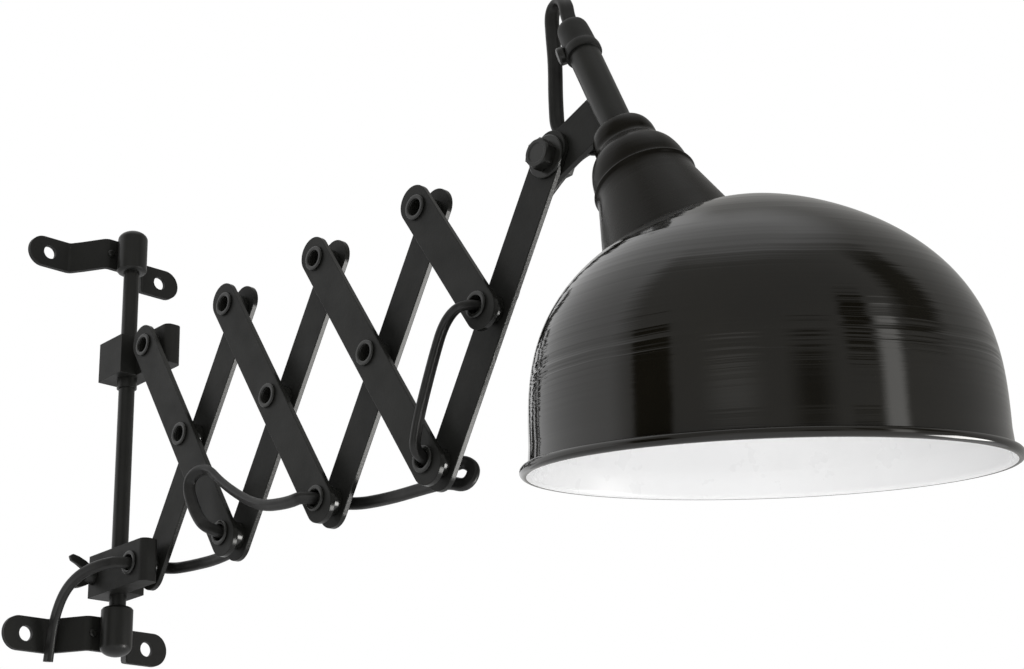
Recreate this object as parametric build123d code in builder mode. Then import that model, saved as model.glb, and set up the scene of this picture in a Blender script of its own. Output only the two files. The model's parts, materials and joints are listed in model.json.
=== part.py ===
"""Scissor-arm wall lamp: two wall brackets with a guide rod, a flat-bar linkage on hollow rivets, and an
angled enamel dome on a tilting stem. Millimetres, wall plane Y = 0, lamp towards -Y, +Z up."""
from build123d import *
from math import atan, cos, radians, sin, tan
import os

os.makedirs("parts", exist_ok=True)

# wall side
HOLE_PITCH_X = 84.0        # wall holes, side to side
BRACKET_Z = 122.0          # bracket centre above and below the origin
STRAP_W = 20.0             # strap height
STRAP_T = 3.0              # strap thickness
STRAP_HALF = 56.5          # half length over the tabs
HOLE_D = 9.0               # wall hole
ROD_Y = -34.0              # rod axis from the wall
ROD_D = 10.0               # guide rod
CAP_D = 19.0               # end cap
CAP_L = 29.0               # end cap length
RUN = 0.05                 # radial running clearance

# linkage
FOLD_DEG = 31.7            # bar angle from vertical, as photographed
BAR_L = 160.0              # between the end pivots
BAR_W = 20.5               # bar width
BAR_T = 3.0                # bar thickness
BAR_END = 14.0             # pivot to bar end
MID_Z = -20.0              # middle pivots
PIVOT_DEPTH = 29.0         # first pivots in front of the rod
FRONT_X = -7.5             # outer face of the front bars
BACK_X = 4.5               # inner face of the back bars
RIVET_D = 10.5             # hollow rivet, outside
RIVET_BORE = 9.0           # hollow rivet, bore
FLANGE_D = 14.0            # rolled rivet flange
FLANGE_T = 1.6             # flange height
SPACER_D = 15.0            # spacer tube
WASHER_D = 19.0            # washer beside the spacer

# collars
COLLAR_W = 23.0            # collar width
COLLAR_H = 25.0            # collar height
COLLAR_BACK = 16.0         # behind the rod axis
COLLAR_FRONT = 10.0        # block in front of the rod axis
TONGUE_END = 42.5          # tongue end in front of the rod axis

# head
STEM_DEG = 20.5            # stem lean from vertical
STEM_OFF = 40.5            # hinge axis to stem axis
STEM_X = 9.5               # stem axis plane
STEM_D = 16.0              # stem pipe
STEM_BORE = 13.0           # stem pipe bore
LINK_T = 3.0               # hinge link thickness
LINK_W = 24.0              # hinge link width

# shade
RIM_C = Vector(21.3, -498.1, -132.1)
DOME_UP = Vector(-0.1005, -0.1322, 0.98612)
BODY_R = 99.9              # dome radius above the lip
DOME_H = 117.8             # rim plane to crown
LIP_H = 10.4               # lip height
SHEET = 1.5                # sheet thickness
BEAD_R = 2.2               # rolled rim bead
RIM_R = 102.0              # bead centre circle
NECK_GAP = 2.5             # open slot between the neck cover and the dome
TAB_W = 11.0               # width of the three tabs that bridge the slot
TAB_DEG = 207.0            # place of the first tab around the stem
CORD_D = 5.5               # cord

fold = radians(FOLD_DEG)
PITCH = BAR_L * sin(fold)
RISE = BAR_L * cos(fold)
TOP_Z = MID_Z + RISE / 2
LOW_Z = MID_Z - RISE / 2
PIVOT_Y = ROD_Y - PIVOT_DEPTH
lean = radians(STEM_DEG)
DOWN = Vector(0, -sin(lean), -cos(lean))
HINGE = Vector(0, PIVOT_Y - 4 * PITCH, TOP_Z)
FOOT = Vector(STEM_X, HINGE.Y - STEM_OFF * cos(lean), HINGE.Z + STEM_OFF * sin(lean))
stem_plane = Plane(origin=FOOT, x_dir=(1, 0, 0), z_dir=-DOWN)
dome_plane = Plane(origin=RIM_C, x_dir=Vector(0, -1, 0).cross(DOME_UP), z_dir=DOME_UP)


def save(shape, name):
    """Label one solid and write it as its own STEP file."""
    shape.label = name
    export_step(shape, f"parts/{name}.step")


# ---------------------------------------------------------------- wall brackets
def bracket(z):
    """Hat-shaped strap with rounded, drilled tabs."""
    with BuildPart() as part:
        with BuildSketch(Plane.XY.offset(z - STRAP_W / 2)):
            with BuildLine():
                FilletPolyline(
                    (-STRAP_HALF, -STRAP_T / 2),
                    (-27.0, -STRAP_T / 2),
                    (-21.5, -9.0),
                    (-12.5, ROD_Y + CAP_D / 2 + STRAP_T / 2),
                    (12.5, ROD_Y + CAP_D / 2 + STRAP_T / 2),
                    (21.5, -9.0),
                    (27.0, -STRAP_T / 2),
                    (STRAP_HALF, -STRAP_T / 2),
                    radius=4.0,
                )
            trace(line_width=STRAP_T)
        extrude(amount=STRAP_W)
        with BuildSketch(Plane.XZ.offset(-5)):
            with Locations((0, z)):
                SlotOverall(2 * STRAP_HALF, STRAP_W)
        extrude(amount=50, mode=Mode.INTERSECT)
        with BuildSketch(Plane.XZ.offset(-5)):
            with Locations((-HOLE_PITCH_X / 2, z), (HOLE_PITCH_X / 2, z)):
                Circle(HOLE_D / 2)
        extrude(amount=12, mode=Mode.SUBTRACT)
    return part


top_bracket = bracket(BRACKET_Z)
save(top_bracket.part, "top_bracket")
bottom_bracket = bracket(-BRACKET_Z)
save(bottom_bracket.part, "bottom_bracket")

with BuildPart() as guide_rod:
    with Locations((0, ROD_Y, 0)):
        Cylinder(ROD_D / 2, 2 * BRACKET_Z + 10)
save(guide_rod.part, "guide_rod")


def rod_cap(z, up):
    """Bored end cap with a domed outer end."""
    plane = Plane(origin=(0, ROD_Y, z), x_dir=(1, 0, 0), z_dir=(0, -up, 0))
    r = CAP_D / 2
    with BuildPart() as part:
        with BuildSketch(plane):
            with BuildLine():
                Line((ROD_D / 2, -CAP_L / 2), (r - 2.0, -CAP_L / 2))
                Line((r - 2.0, -CAP_L / 2), (r, -CAP_L / 2 + 1.5))
                Line((r, -CAP_L / 2 + 1.5), (r, CAP_L / 2 - 6.0))
                Spline((r, CAP_L / 2 - 6.0), (0.74 * r, CAP_L / 2 - 2.0), (0, CAP_L / 2), tangents=[(0, 1), (-1, 0)])
                Line((0, CAP_L / 2), (0, 5.0))
                Line((0, 5.0), (ROD_D / 2, 5.0))
                Line((ROD_D / 2, 5.0), (ROD_D / 2, -CAP_L / 2))
            make_face()
        revolve(axis=Axis(plane.origin, (0, 0, 1)))
    return part


top_rod_cap = rod_cap(BRACKET_Z, 1)
save(top_rod_cap.part, "top_rod_cap")
bottom_rod_cap = rod_cap(-BRACKET_Z, -1)
save(bottom_rod_cap.part, "bottom_rod_cap")


def strap_screw(z):
    """Small round-head screw beside the cap."""
    face = ROD_Y + CAP_D / 2
    with BuildPart() as part:
        with BuildSketch(Plane.XZ.offset(-face)):
            with Locations((-10.2, z)):
                Circle(2.3)
        extrude(amount=1.7)
        fillet(part.edges().sort_by(Axis.Y)[0], radius=0.9)
    return part


top_strap_screw = strap_screw(BRACKET_Z)
save(top_strap_screw.part, "top_strap_screw")
bottom_strap_screw = strap_screw(-BRACKET_Z)
save(bottom_strap_screw.part, "bottom_strap_screw")


# ---------------------------------------------------------------- collars
def collar(z, side):
    """Sliding block with a half-width tongue on the given side."""
    w = COLLAR_W / 2
    with BuildPart() as part:
        with BuildSketch(Plane.XY.offset(z - COLLAR_H / 2)):
            with BuildLine():
                Polyline(
                    (-side * w, ROD_Y - COLLAR_FRONT),
                    (-side * w, ROD_Y + COLLAR_BACK),
                    (side * w, ROD_Y + COLLAR_BACK),
                    (side * w, ROD_Y - TONGUE_END),
                    (0, ROD_Y - TONGUE_END),
                    (0, ROD_Y - COLLAR_FRONT),
                    (-side * w, ROD_Y - COLLAR_FRONT),
                )
            make_face()
        extrude(amount=COLLAR_H)
        fillet(part.edges().filter_by(Axis.Z).group_by(Axis.Y)[0], radius=4.0)
        fillet(part.edges().filter_by(Axis.Z).group_by(Axis.Y)[-1], radius=1.5)
        with Locations((0, ROD_Y, z)):
            Cylinder(ROD_D / 2 + RUN, COLLAR_H + 2, mode=Mode.SUBTRACT)
        with BuildSketch(Plane.YZ):
            with Locations((PIVOT_Y, z)):
                Circle(RIVET_D / 2 + RUN)
        extrude(amount=20, both=True, mode=Mode.SUBTRACT)
    return part


upper_collar = collar(TOP_Z, 1)
save(upper_collar.part, "upper_collar")
lower_collar = collar(LOW_Z, -1)
save(lower_collar.part, "lower_collar")

with BuildPart() as collar_bush:
    with Locations((0, ROD_Y, TOP_Z - COLLAR_H / 2 - 3.2)):
        Cylinder(6.2, 6.4)
        Cylinder(ROD_D / 2 + RUN, 8, mode=Mode.SUBTRACT)
save(collar_bush.part, "collar_bush")

with BuildPart() as wing_screw:
    with BuildSketch(Plane.YZ.offset(-COLLAR_W / 2)):
        with Locations((ROD_Y + 10.5, LOW_Z)):
            Circle(5.6)
    extrude(amount=-6.5, taper=8)
    with BuildSketch(Plane.XZ.offset(-(ROD_Y + 10.5) - 1.8)):
        with BuildLine():
            Polyline(
                (-14.0, LOW_Z + 2.5),
                (-14.0, LOW_Z + 6.8),
                (-27.5, LOW_Z + 11.5),
                (-28.5, LOW_Z + 8.2),
                (-17.5, LOW_Z + 2.5),
                (-14.0, LOW_Z + 2.5),
            )
        make_face()
        with BuildLine():
            Polyline(
                (-14.0, LOW_Z - 2.5),
                (-14.0, LOW_Z - 6.8),
                (-22.5, LOW_Z - 9.0),
                (-23.5, LOW_Z - 6.2),
                (-17.5, LOW_Z - 2.5),
                (-14.0, LOW_Z - 2.5),
            )
        make_face()
    extrude(amount=3.6)
save(wing_screw.part, "wing_screw")


# ---------------------------------------------------------------- flat bars
def flat_bar(x, y0, z0, y1, z1, holes):
    """Flat bar with round ends; each hole is given as a share of the run between the end pivots."""
    run = Vector(0, y1 - y0, z1 - z0)
    plane = Plane(origin=(x, y0, z0), x_dir=run.normalized(), z_dir=(1, 0, 0))
    over = BAR_END - BAR_W / 2
    with BuildPart() as part:
        with BuildSketch(plane):
            with Locations((run.length / 2, 0)):
                SlotCenterToCenter(run.length + 2 * over, BAR_W)
            with Locations(*[(run.length * s, 0) for s in holes]):
                Circle(RIVET_D / 2 + RUN, mode=Mode.SUBTRACT)
        extrude(amount=BAR_T)
        fillet(part.faces().sort_by(Axis.X)[0].outer_wire().edges(), radius=0.4)
    return part


front_bar_1 = flat_bar(FRONT_X, PIVOT_Y, TOP_Z, PIVOT_Y - PITCH, LOW_Z, (0, 0.5, 1))
save(front_bar_1.part, "front_bar_1")
front_bar_2 = flat_bar(FRONT_X, PIVOT_Y - PITCH, TOP_Z, PIVOT_Y - 2 * PITCH, LOW_Z, (0, 0.5, 1))
save(front_bar_2.part, "front_bar_2")
front_bar_3 = flat_bar(FRONT_X, PIVOT_Y - 2 * PITCH, TOP_Z, PIVOT_Y - 3 * PITCH, LOW_Z, (0, 0.5, 1))
save(front_bar_3.part, "front_bar_3")
front_half_bar = flat_bar(FRONT_X, PIVOT_Y - 3 * PITCH, TOP_Z, PIVOT_Y - 3.5 * PITCH, MID_Z, (0, 1))
save(front_half_bar.part, "front_half_bar")
back_bar_1 = flat_bar(BACK_X, PIVOT_Y, LOW_Z, PIVOT_Y - PITCH, TOP_Z, (0, 0.5, 1))
save(back_bar_1.part, "back_bar_1")
back_bar_2 = flat_bar(BACK_X, PIVOT_Y - PITCH, LOW_Z, PIVOT_Y - 2 * PITCH, TOP_Z, (0, 0.5, 1))
save(back_bar_2.part, "back_bar_2")
back_bar_3 = flat_bar(BACK_X, PIVOT_Y - 2 * PITCH, LOW_Z, PIVOT_Y - 3 * PITCH, TOP_Z, (0, 0.5, 1))
save(back_bar_3.part, "back_bar_3")
back_bar_4 = flat_bar(BACK_X, PIVOT_Y - 3 * PITCH, LOW_Z, PIVOT_Y - 4 * PITCH, TOP_Z, (0, 0.5, 1))
save(back_bar_4.part, "back_bar_4")


# ---------------------------------------------------------------- hollow rivets with spacers
def pivot(y, z, near, lo, hi, far):
    """Hollow rivet on the X axis: flanges outside near and far, spacer from lo to hi with a washer at lo."""
    bore = RIVET_BORE / 2
    tube = RIVET_D / 2
    rim = FLANGE_D / 2
    body = SPACER_D / 2
    wash = WASHER_D / 2
    plane = Plane(origin=(0, y, z), x_dir=(0, 1, 0), z_dir=(0, 0, 1))
    with BuildPart() as part:
        with BuildSketch(plane):
            with BuildLine():
                Polyline(
                    (bore + 0.7, -near + FLANGE_T),
                    (rim - 0.7, -near + FLANGE_T),
                    (rim, -near + FLANGE_T - 0.6),
                    (rim, -near),
                    (tube, -near),
                    (tube, -lo),
                    (wash, -lo),
                    (wash, -lo - 1.8),
                    (body, -lo - 1.8),
                    (body, -hi),
                    (tube, -hi),
                    (tube, -far),
                    (rim, -far),
                    (rim, -far - FLANGE_T + 0.6),
                    (rim - 0.7, -far - FLANGE_T),
                    (bore + 0.7, -far - FLANGE_T),
                    (bore, -far - FLANGE_T + 0.7),
                    (bore, -near + FLANGE_T - 0.7),
                    (bore + 0.7, -near + FLANGE_T),
                )
            make_face()
        revolve(axis=Axis((0, y, z), (1, 0, 0)))
    return part


IN_F = FRONT_X + BAR_T
OUT_B = BACK_X + BAR_T
for k in range(1, 4):
    top_pivot = pivot(PIVOT_Y - k * PITCH, TOP_Z, FRONT_X, IN_F, BACK_X - 0.2, OUT_B + 0.2)
    save(top_pivot.part, f"top_pivot_{k}")
    low_pivot = pivot(PIVOT_Y - k * PITCH, LOW_Z, FRONT_X, IN_F, BACK_X - 0.2, OUT_B + 0.2)
    save(low_pivot.part, f"low_pivot_{k}")
for k in range(1, 5):
    mid_pivot = pivot(PIVOT_Y - (k - 0.5) * PITCH, MID_Z, FRONT_X, IN_F, BACK_X - 0.2, OUT_B + 0.2)
    save(mid_pivot.part, f"mid_pivot_{k}")
top_pivot_0 = pivot(PIVOT_Y, TOP_Z, FRONT_X, IN_F, -0.2, COLLAR_W / 2 + 0.2)
save(top_pivot_0.part, "top_pivot_0")
low_pivot_0 = pivot(PIVOT_Y, LOW_Z, -COLLAR_W / 2, 0, BACK_X - 0.2, OUT_B + 0.2)
save(low_pivot_0.part, "low_pivot_0")

# ---------------------------------------------------------------- tilting hinge
LINK_X = OUT_B + 0.5
with BuildPart() as hinge_bolt:
    with BuildSketch(Plane.YZ.offset(BACK_X - 1.6)):
        with Locations((HINGE.Y, HINGE.Z)):
            Circle(10.0)
    extrude(amount=1.6)
    with BuildSketch(Plane.YZ.offset(BACK_X - 1.6)):
        with Locations((HINGE.Y, HINGE.Z)):
            RegularPolygon(9.2, 6, rotation=20)
    extrude(amount=-6.2)
    with BuildSketch(Plane.YZ.offset(BACK_X - 1.6)):
        with Locations((HINGE.Y, HINGE.Z)):
            Circle(RIVET_D / 2)
    extrude(amount=LINK_X + LINK_T + 7.2 - BACK_X + 1.6)
save(hinge_bolt.part, "hinge_bolt")

with BuildPart() as hinge_nut:
    with BuildSketch(Plane.YZ.offset(LINK_X + LINK_T + 0.2)):
        with Locations((HINGE.Y, HINGE.Z)):
            RegularPolygon(9.2, 6)
            Circle(RIVET_D / 2, mode=Mode.SUBTRACT)
    extrude(amount=6.0)
save(hinge_nut.part, "hinge_nut")

link_plane = Plane(origin=(LINK_X, HINGE.Y, HINGE.Z), x_dir=(0, -cos(lean), sin(lean)), z_dir=(1, 0, 0))
with BuildPart() as hinge_link:
    with BuildSketch(link_plane):
        with Locations((STEM_OFF / 2 - 1.0, 0)):
            SlotOverall(STEM_OFF + 2.0 + LINK_W / 2 + 12.0, LINK_W)
        Circle(RIVET_D / 2 + RUN, mode=Mode.SUBTRACT)
    extrude(amount=LINK_T)
    with BuildSketch(stem_plane.offset(-40)):
        Circle(STEM_D / 2)
    extrude(amount=80, mode=Mode.SUBTRACT)
    with BuildSketch(link_plane.offset(-10)):
        with Locations((STEM_OFF + 15.0, 0)):
            Rectangle(30.0, 60.0)
    extrude(amount=30, mode=Mode.SUBTRACT)
save(hinge_link.part, "hinge_link")

with BuildPart() as stem_pipe:
    with BuildSketch(stem_plane.offset(-34)):
        Circle(STEM_D / 2)
        Circle(STEM_BORE / 2, mode=Mode.SUBTRACT)
    extrude(amount=34 + 36)
save(stem_pipe.part, "stem_pipe")

# ---------------------------------------------------------------- cord grip
with BuildPart() as cord_grip:
    with BuildSketch(stem_plane.offset(36)):
        Circle(9.4)
    extrude(amount=5)
    with BuildSketch(stem_plane.offset(41)):
        Circle(8.6)
    extrude(amount=17, taper=3)
    fillet(cord_grip.edges().filter_by(GeomType.CIRCLE).sort_by(Axis.Z)[-1], radius=2.0)
    with BuildSketch(stem_plane.offset(35)):
        Circle(3.6)
    extrude(amount=40, mode=Mode.SUBTRACT)
save(cord_grip.part, "cord_grip")

grip_plane = Plane(origin=FOOT - DOWN * 38.5, x_dir=-DOWN, z_dir=(-0.60, 0.80 * cos(lean), -0.80 * sin(lean)))
with BuildPart() as grip_screw:
    with BuildSketch(grip_plane.offset(9.4)):
        Circle(2.6)
    extrude(amount=4.0)
    with BuildSketch(stem_plane.offset(30)):
        Circle(9.42)
    extrude(amount=20, mode=Mode.SUBTRACT)
save(grip_screw.part, "grip_screw")


# ---------------------------------------------------------------- shade
def dome_point(t, drop):
    """Point of the dome wall at height share t, moved inwards by drop."""
    r = BODY_R * max(1 - t**2.93, 0) ** (1 / 1.51)
    z = LIP_H + (DOME_H - LIP_H) * t
    scale = (BODY_R - drop) / BODY_R
    rise = (DOME_H - drop - LIP_H) / (DOME_H - LIP_H)
    return (r * scale, LIP_H + (z - LIP_H) * rise)


SHARES = (0, 0.2, 0.38, 0.54, 0.68, 0.79, 0.88, 0.945, 0.985)
dome_section = Plane(origin=RIM_C, x_dir=dome_plane.x_dir, z_dir=dome_plane.x_dir.cross(DOME_UP))
dome_axis = Axis(RIM_C, DOME_UP)
outer_wall = [dome_point(t, 0) for t in SHARES] + [(0, DOME_H)]
inner_wall = [dome_point(t, SHEET) for t in SHARES] + [(0, DOME_H - SHEET)]

with BuildPart() as shade:
    with BuildSketch(dome_section):
        with BuildLine():
            Spline(*outer_wall, tangents=[(0, 1), (-1, 0)])
            Line((0, DOME_H), (0, DOME_H - SHEET))
            Spline(*inner_wall[::-1], tangents=[(1, 0), (0, -1)])
            Polyline(
                (BODY_R - SHEET, LIP_H),
                (RIM_R - 2.4, 3.2),
                (RIM_R - BEAD_R, 0),
                (RIM_R - 1.5, -1.6),
                (RIM_R, -BEAD_R),
                (RIM_R + 1.5, -1.6),
                (RIM_R + BEAD_R, 0),
                (RIM_R + 1.5, 1.6),
                (RIM_R, BEAD_R + 0.3),
                (RIM_R - 0.8, 4.2),
                (BODY_R + 0.3, LIP_H - 2.0),
                (BODY_R, LIP_H),
            )
        make_face()
    revolve(axis=dome_axis)
    with BuildSketch(stem_plane.offset(-60)):
        Circle(20.6)
    extrude(amount=-80, mode=Mode.SUBTRACT)
save(shade.part, "shade")

# ---------------------------------------------------------------- neck cover
stem_axis = Axis(FOOT, -DOWN)
NECK_OUT = ((STEM_D / 2 + RUN, -16.0), (11.5, -17.2), (14.2, -19.6), (15.3, -23.5), (15.0, -27.5), (14.4, -30.0))
NECK_MID = ((16.6, -32.6), (19.6, -36.5), (22.0, -41.5), (23.0, -47.0), (23.3, -51.5), (24.4, -53.0))
NECK_LOW = ((24.4, -55.4), (24.0, -56.6), (26.7, -66.5), (36.2, -101.7))
NECK_IN = ((34.7, -101.7), (25.2, -66.5), (22.4, -57.0), (21.7, -47.0), (20.6, -41.8), (18.4, -37.4), (15.2, -33.6))
NECK_TOP = ((13.0, -30.6), (13.6, -27.5), (13.8, -23.8), (12.9, -20.6), (11.0, -18.8), (STEM_D / 2 + RUN, -18.4))


def dome_form(grow):
    """Solid dome grown outwards all round, for cutting."""
    with BuildPart() as part:
        with BuildSketch(dome_section):
            with BuildLine():
                Spline(*[dome_point(t, -grow) for t in SHARES], (0, DOME_H + grow), tangents=[(0, 1), (-1, 0)])
                Line((0, DOME_H + grow), (0, LIP_H))
                Line((0, LIP_H), (BODY_R + grow, LIP_H))
            make_face()
        revolve(axis=dome_axis)
    return part.part


with BuildPart() as neck_room:
    add(dome_form(NECK_GAP))
    with BuildSketch(stem_plane.offset(-70)):
        with PolarLocations(33.0, 3, start_angle=TAB_DEG):
            Rectangle(20.0, TAB_W)
    extrude(amount=-50, mode=Mode.SUBTRACT)

with BuildPart() as neck_cover:
    with BuildSketch(Plane(origin=FOOT, x_dir=(1, 0, 0), z_dir=Vector(1, 0, 0).cross(-DOWN))):
        with BuildLine():
            Polyline(*NECK_OUT, *NECK_MID, *NECK_LOW, *NECK_IN, *NECK_TOP, NECK_OUT[0])
        make_face()
    revolve(axis=stem_axis)
    add(neck_room.part, mode=Mode.SUBTRACT)
    add(dome_form(0.05), mode=Mode.SUBTRACT)
save(neck_cover.part, "neck_cover")

with BuildPart() as lamp_holder:
    with BuildSketch(stem_plane.offset(-64)):
        Circle(20.0)
    extrude(amount=-56, taper=-1.0)
    with BuildSketch(stem_plane.offset(-92)):
        Circle(13.6)
    extrude(amount=-40, mode=Mode.SUBTRACT)
    with BuildSketch(stem_plane.offset(-60)):
        Circle(STEM_BORE / 2)
    extrude(amount=-26, mode=Mode.SUBTRACT)
    with BuildSketch(stem_plane.offset(-34)):
        Circle(10.0)
        Circle(STEM_BORE / 2, mode=Mode.SUBTRACT)
    extrude(amount=-30)
save(lamp_holder.part, "lamp_holder")


# ---------------------------------------------------------------- cord
def radii(points):
    """Tangent radius for every corner: 0.45 of the shorter run over the tangent of half the turn."""
    result = []
    for a, b, c in zip(points, points[1:], points[2:]):
        first = Vector(*b) - Vector(*a)
        second = Vector(*c) - Vector(*b)
        half = radians(first.get_angle(second)) / 2
        result.append(round(min(0.45 * min(first.length, second.length) / tan(half), 60.0), 2))
    return result


def cord(points, name):
    """Round cord along straight runs with tangent arcs."""
    bends = radii(points)
    print(name, "radii", bends)
    with BuildPart() as part:
        with BuildLine() as path:
            FilletPolyline(*points, radius=bends)
        start = path.line @ 0
        with BuildSketch(Plane(origin=start, z_dir=path.line % 0)):
            Circle(CORD_D / 2)
        sweep(path=path.line)
    return part


L0 = (PIVOT_Y, LOW_Z)
L1 = (PIVOT_Y - PITCH, LOW_Z)
L2 = (PIVOT_Y - 2 * PITCH, LOW_Z)
L3 = (PIVOT_Y - 3 * PITCH, LOW_Z)
M4 = (PIVOT_Y - 3.5 * PITCH, MID_Z)
GRIP = FOOT - DOWN * 42

supply = [(-1.0, *L0), (-17.0, *L0), (-23.5, -52.0, -88.5), (-28.0, -37.0, -91.5), (-30.0, -24.0, -99.0)]
supply += [(-30.0, -15.0, -111.0), (-29.0, -9.5, -124.0), (-29.0, -7.5, -138.0)]
cord_supply = cord(supply, "cord_supply")
save(cord_supply.part, "cord_supply")
run_a = [(-0.5, *L0), (15.5, *L0), (15.0, -84.0, -91.0), (15.0, -118.0, -93.0), (15.5, *L1), (0.5, *L1)]
cord_run_a = cord(run_a, "cord_run_a")
save(cord_run_a.part, "cord_run_a")
run_b = [(0.0, *L1), (-16.0, *L1), (-17.0, -124.0, -74.0), (-18.0, -117.0, -52.0), (-17.0, -139.0, -52.0)]
run_b += [(-16.0, -165.0, -73.0), (-15.0, -205.0, -83.0), (-16.0, *L2), (0.0, *L2)]
cord_run_b = cord(run_b, "cord_run_b")
save(cord_run_b.part, "cord_run_b")
run_c = [(0.5, *L2), (15.5, *L2), (15.0, -262.0, -94.0), (15.0, -298.0, -97.5), (17.0, -318.0, -100.0)]
run_c += [(22.0, -328.0, -95.5), (24.0, -325.0, -87.5), (16.5, *L3), (0.5, *L3)]
cord_run_c = cord(run_c, "cord_run_c")
save(cord_run_c.part, "cord_run_c")
run_d = [(0.0, *L3), (-16.0, *L3), (-16.0, -314.0, -74.0), (-16.0, -332.0, -44.0), (-16.0, -343.0, -24.0)]
run_d += [(-15.5, *M4), (0.0, *M4)]
cord_run_d = cord(run_d, "cord_run_d")
save(cord_run_d.part, "cord_run_d")
run_e = [(0.5, *M4), (15.5, *M4), (16.5, -368.0, 4.0), (21.0, -383.0, 34.0), (24.5, -404.0, 50.0)]
run_e += [(25.0, -425.0, 46.0), (26.0, -437.0, 60.0), (25.0, -425.0, 74.0), (20.0, -407.0, 80.0)]
run_e += [(15.5, -400.0, 98.0), (14.5, -400.0, 118.0), (12.5, -404.5, 134.0)]
run_e += [(9.5, GRIP.Y + sin(lean) * 28, GRIP.Z + cos(lean) * 28), (9.5, GRIP.Y, GRIP.Z)]
cord_run_e = cord(run_e, "cord_run_e")
save(cord_run_e.part, "cord_run_e")
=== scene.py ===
"""Scissor-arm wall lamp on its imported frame: black coated bars on rolled rivets, an angled enamel dome on a
tilting stem, and a flat two-core cord threaded through the hollow rivets. Metres, wall plane Y = 0, +Z up."""

import json
import logging
import math
from dataclasses import dataclass, field
from enum import Enum

import bmesh
import bpy
from mathutils import Matrix, Vector

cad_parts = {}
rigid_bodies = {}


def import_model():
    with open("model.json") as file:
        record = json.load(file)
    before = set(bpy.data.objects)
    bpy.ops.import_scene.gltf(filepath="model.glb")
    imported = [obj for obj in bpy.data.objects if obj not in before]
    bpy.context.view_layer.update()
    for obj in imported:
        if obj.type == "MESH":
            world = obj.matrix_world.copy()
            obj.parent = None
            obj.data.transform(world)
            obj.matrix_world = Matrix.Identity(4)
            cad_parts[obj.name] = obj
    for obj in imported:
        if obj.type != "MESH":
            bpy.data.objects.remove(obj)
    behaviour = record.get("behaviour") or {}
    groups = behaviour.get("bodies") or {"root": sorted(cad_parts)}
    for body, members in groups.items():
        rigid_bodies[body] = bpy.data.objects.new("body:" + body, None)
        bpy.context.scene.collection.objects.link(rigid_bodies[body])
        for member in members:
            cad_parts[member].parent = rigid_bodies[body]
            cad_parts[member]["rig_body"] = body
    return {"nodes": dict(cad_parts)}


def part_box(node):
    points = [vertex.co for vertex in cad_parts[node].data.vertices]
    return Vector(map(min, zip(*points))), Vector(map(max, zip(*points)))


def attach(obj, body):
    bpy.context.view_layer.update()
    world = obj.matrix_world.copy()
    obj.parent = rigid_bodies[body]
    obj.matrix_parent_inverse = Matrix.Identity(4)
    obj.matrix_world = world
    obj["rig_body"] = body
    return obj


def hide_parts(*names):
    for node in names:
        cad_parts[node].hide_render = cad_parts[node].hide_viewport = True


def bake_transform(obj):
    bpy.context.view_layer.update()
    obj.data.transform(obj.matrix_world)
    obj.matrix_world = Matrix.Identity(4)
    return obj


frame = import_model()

LOG = logging.getLogger("wall_lamp")
MM = 0.001
STEM_LEAN = 20.5  # degrees that the stem leans back from upright
STEM_SIDE = 9.5 * MM  # distance of the stem axis from the bars' middle plane
HINGE_TO_STEM = 40.5 * MM
RIM_CENTRE = Vector((21.3, -498.1, -132.1)) * MM
DOME_UP = Vector((-0.1005, -0.1322, 0.98612)).normalized()
Profile = list[tuple[float, float]]
Colour = tuple[float, float, float]
Point = tuple[float, float, float]


class Roll(Enum):
    """Directions that the wide side of the flat cord can lie in."""

    UPRIGHT = (0.0, 0.0, 1.0)
    ALONG = (0.0, 1.0, 0.0)
    ROOMWARD = (0.74, -0.67, 0.0)


# ------------------------------------------------------------------ nodes and finishes
def add_node(tree: bpy.types.NodeTree, kind: str, *terms: object, **named: object) -> bpy.types.Node:
    """Add a node to a tree and fill it in.

    Args:
        tree: the node tree.
        kind: node type name.
        terms: its first inputs in order, each a plain value or a socket to link.
        named: plain attributes, in lower case, and inputs by name, with a capital and underscores for blanks.

    Returns:
        The new node.
    """
    made = tree.nodes.new(kind)
    for key, value in named.items():
        if key[0].islower():
            setattr(made, key, value)
    wanted = list(zip(made.inputs, terms))
    wanted += [(made.inputs[key.replace("_", " ")], value) for key, value in named.items() if key[0].isupper()]
    for slot, value in wanted:
        if isinstance(value, bpy.types.NodeSocket):
            tree.links.new(value, slot)
        else:
            slot.default_value = value
    return made


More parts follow.
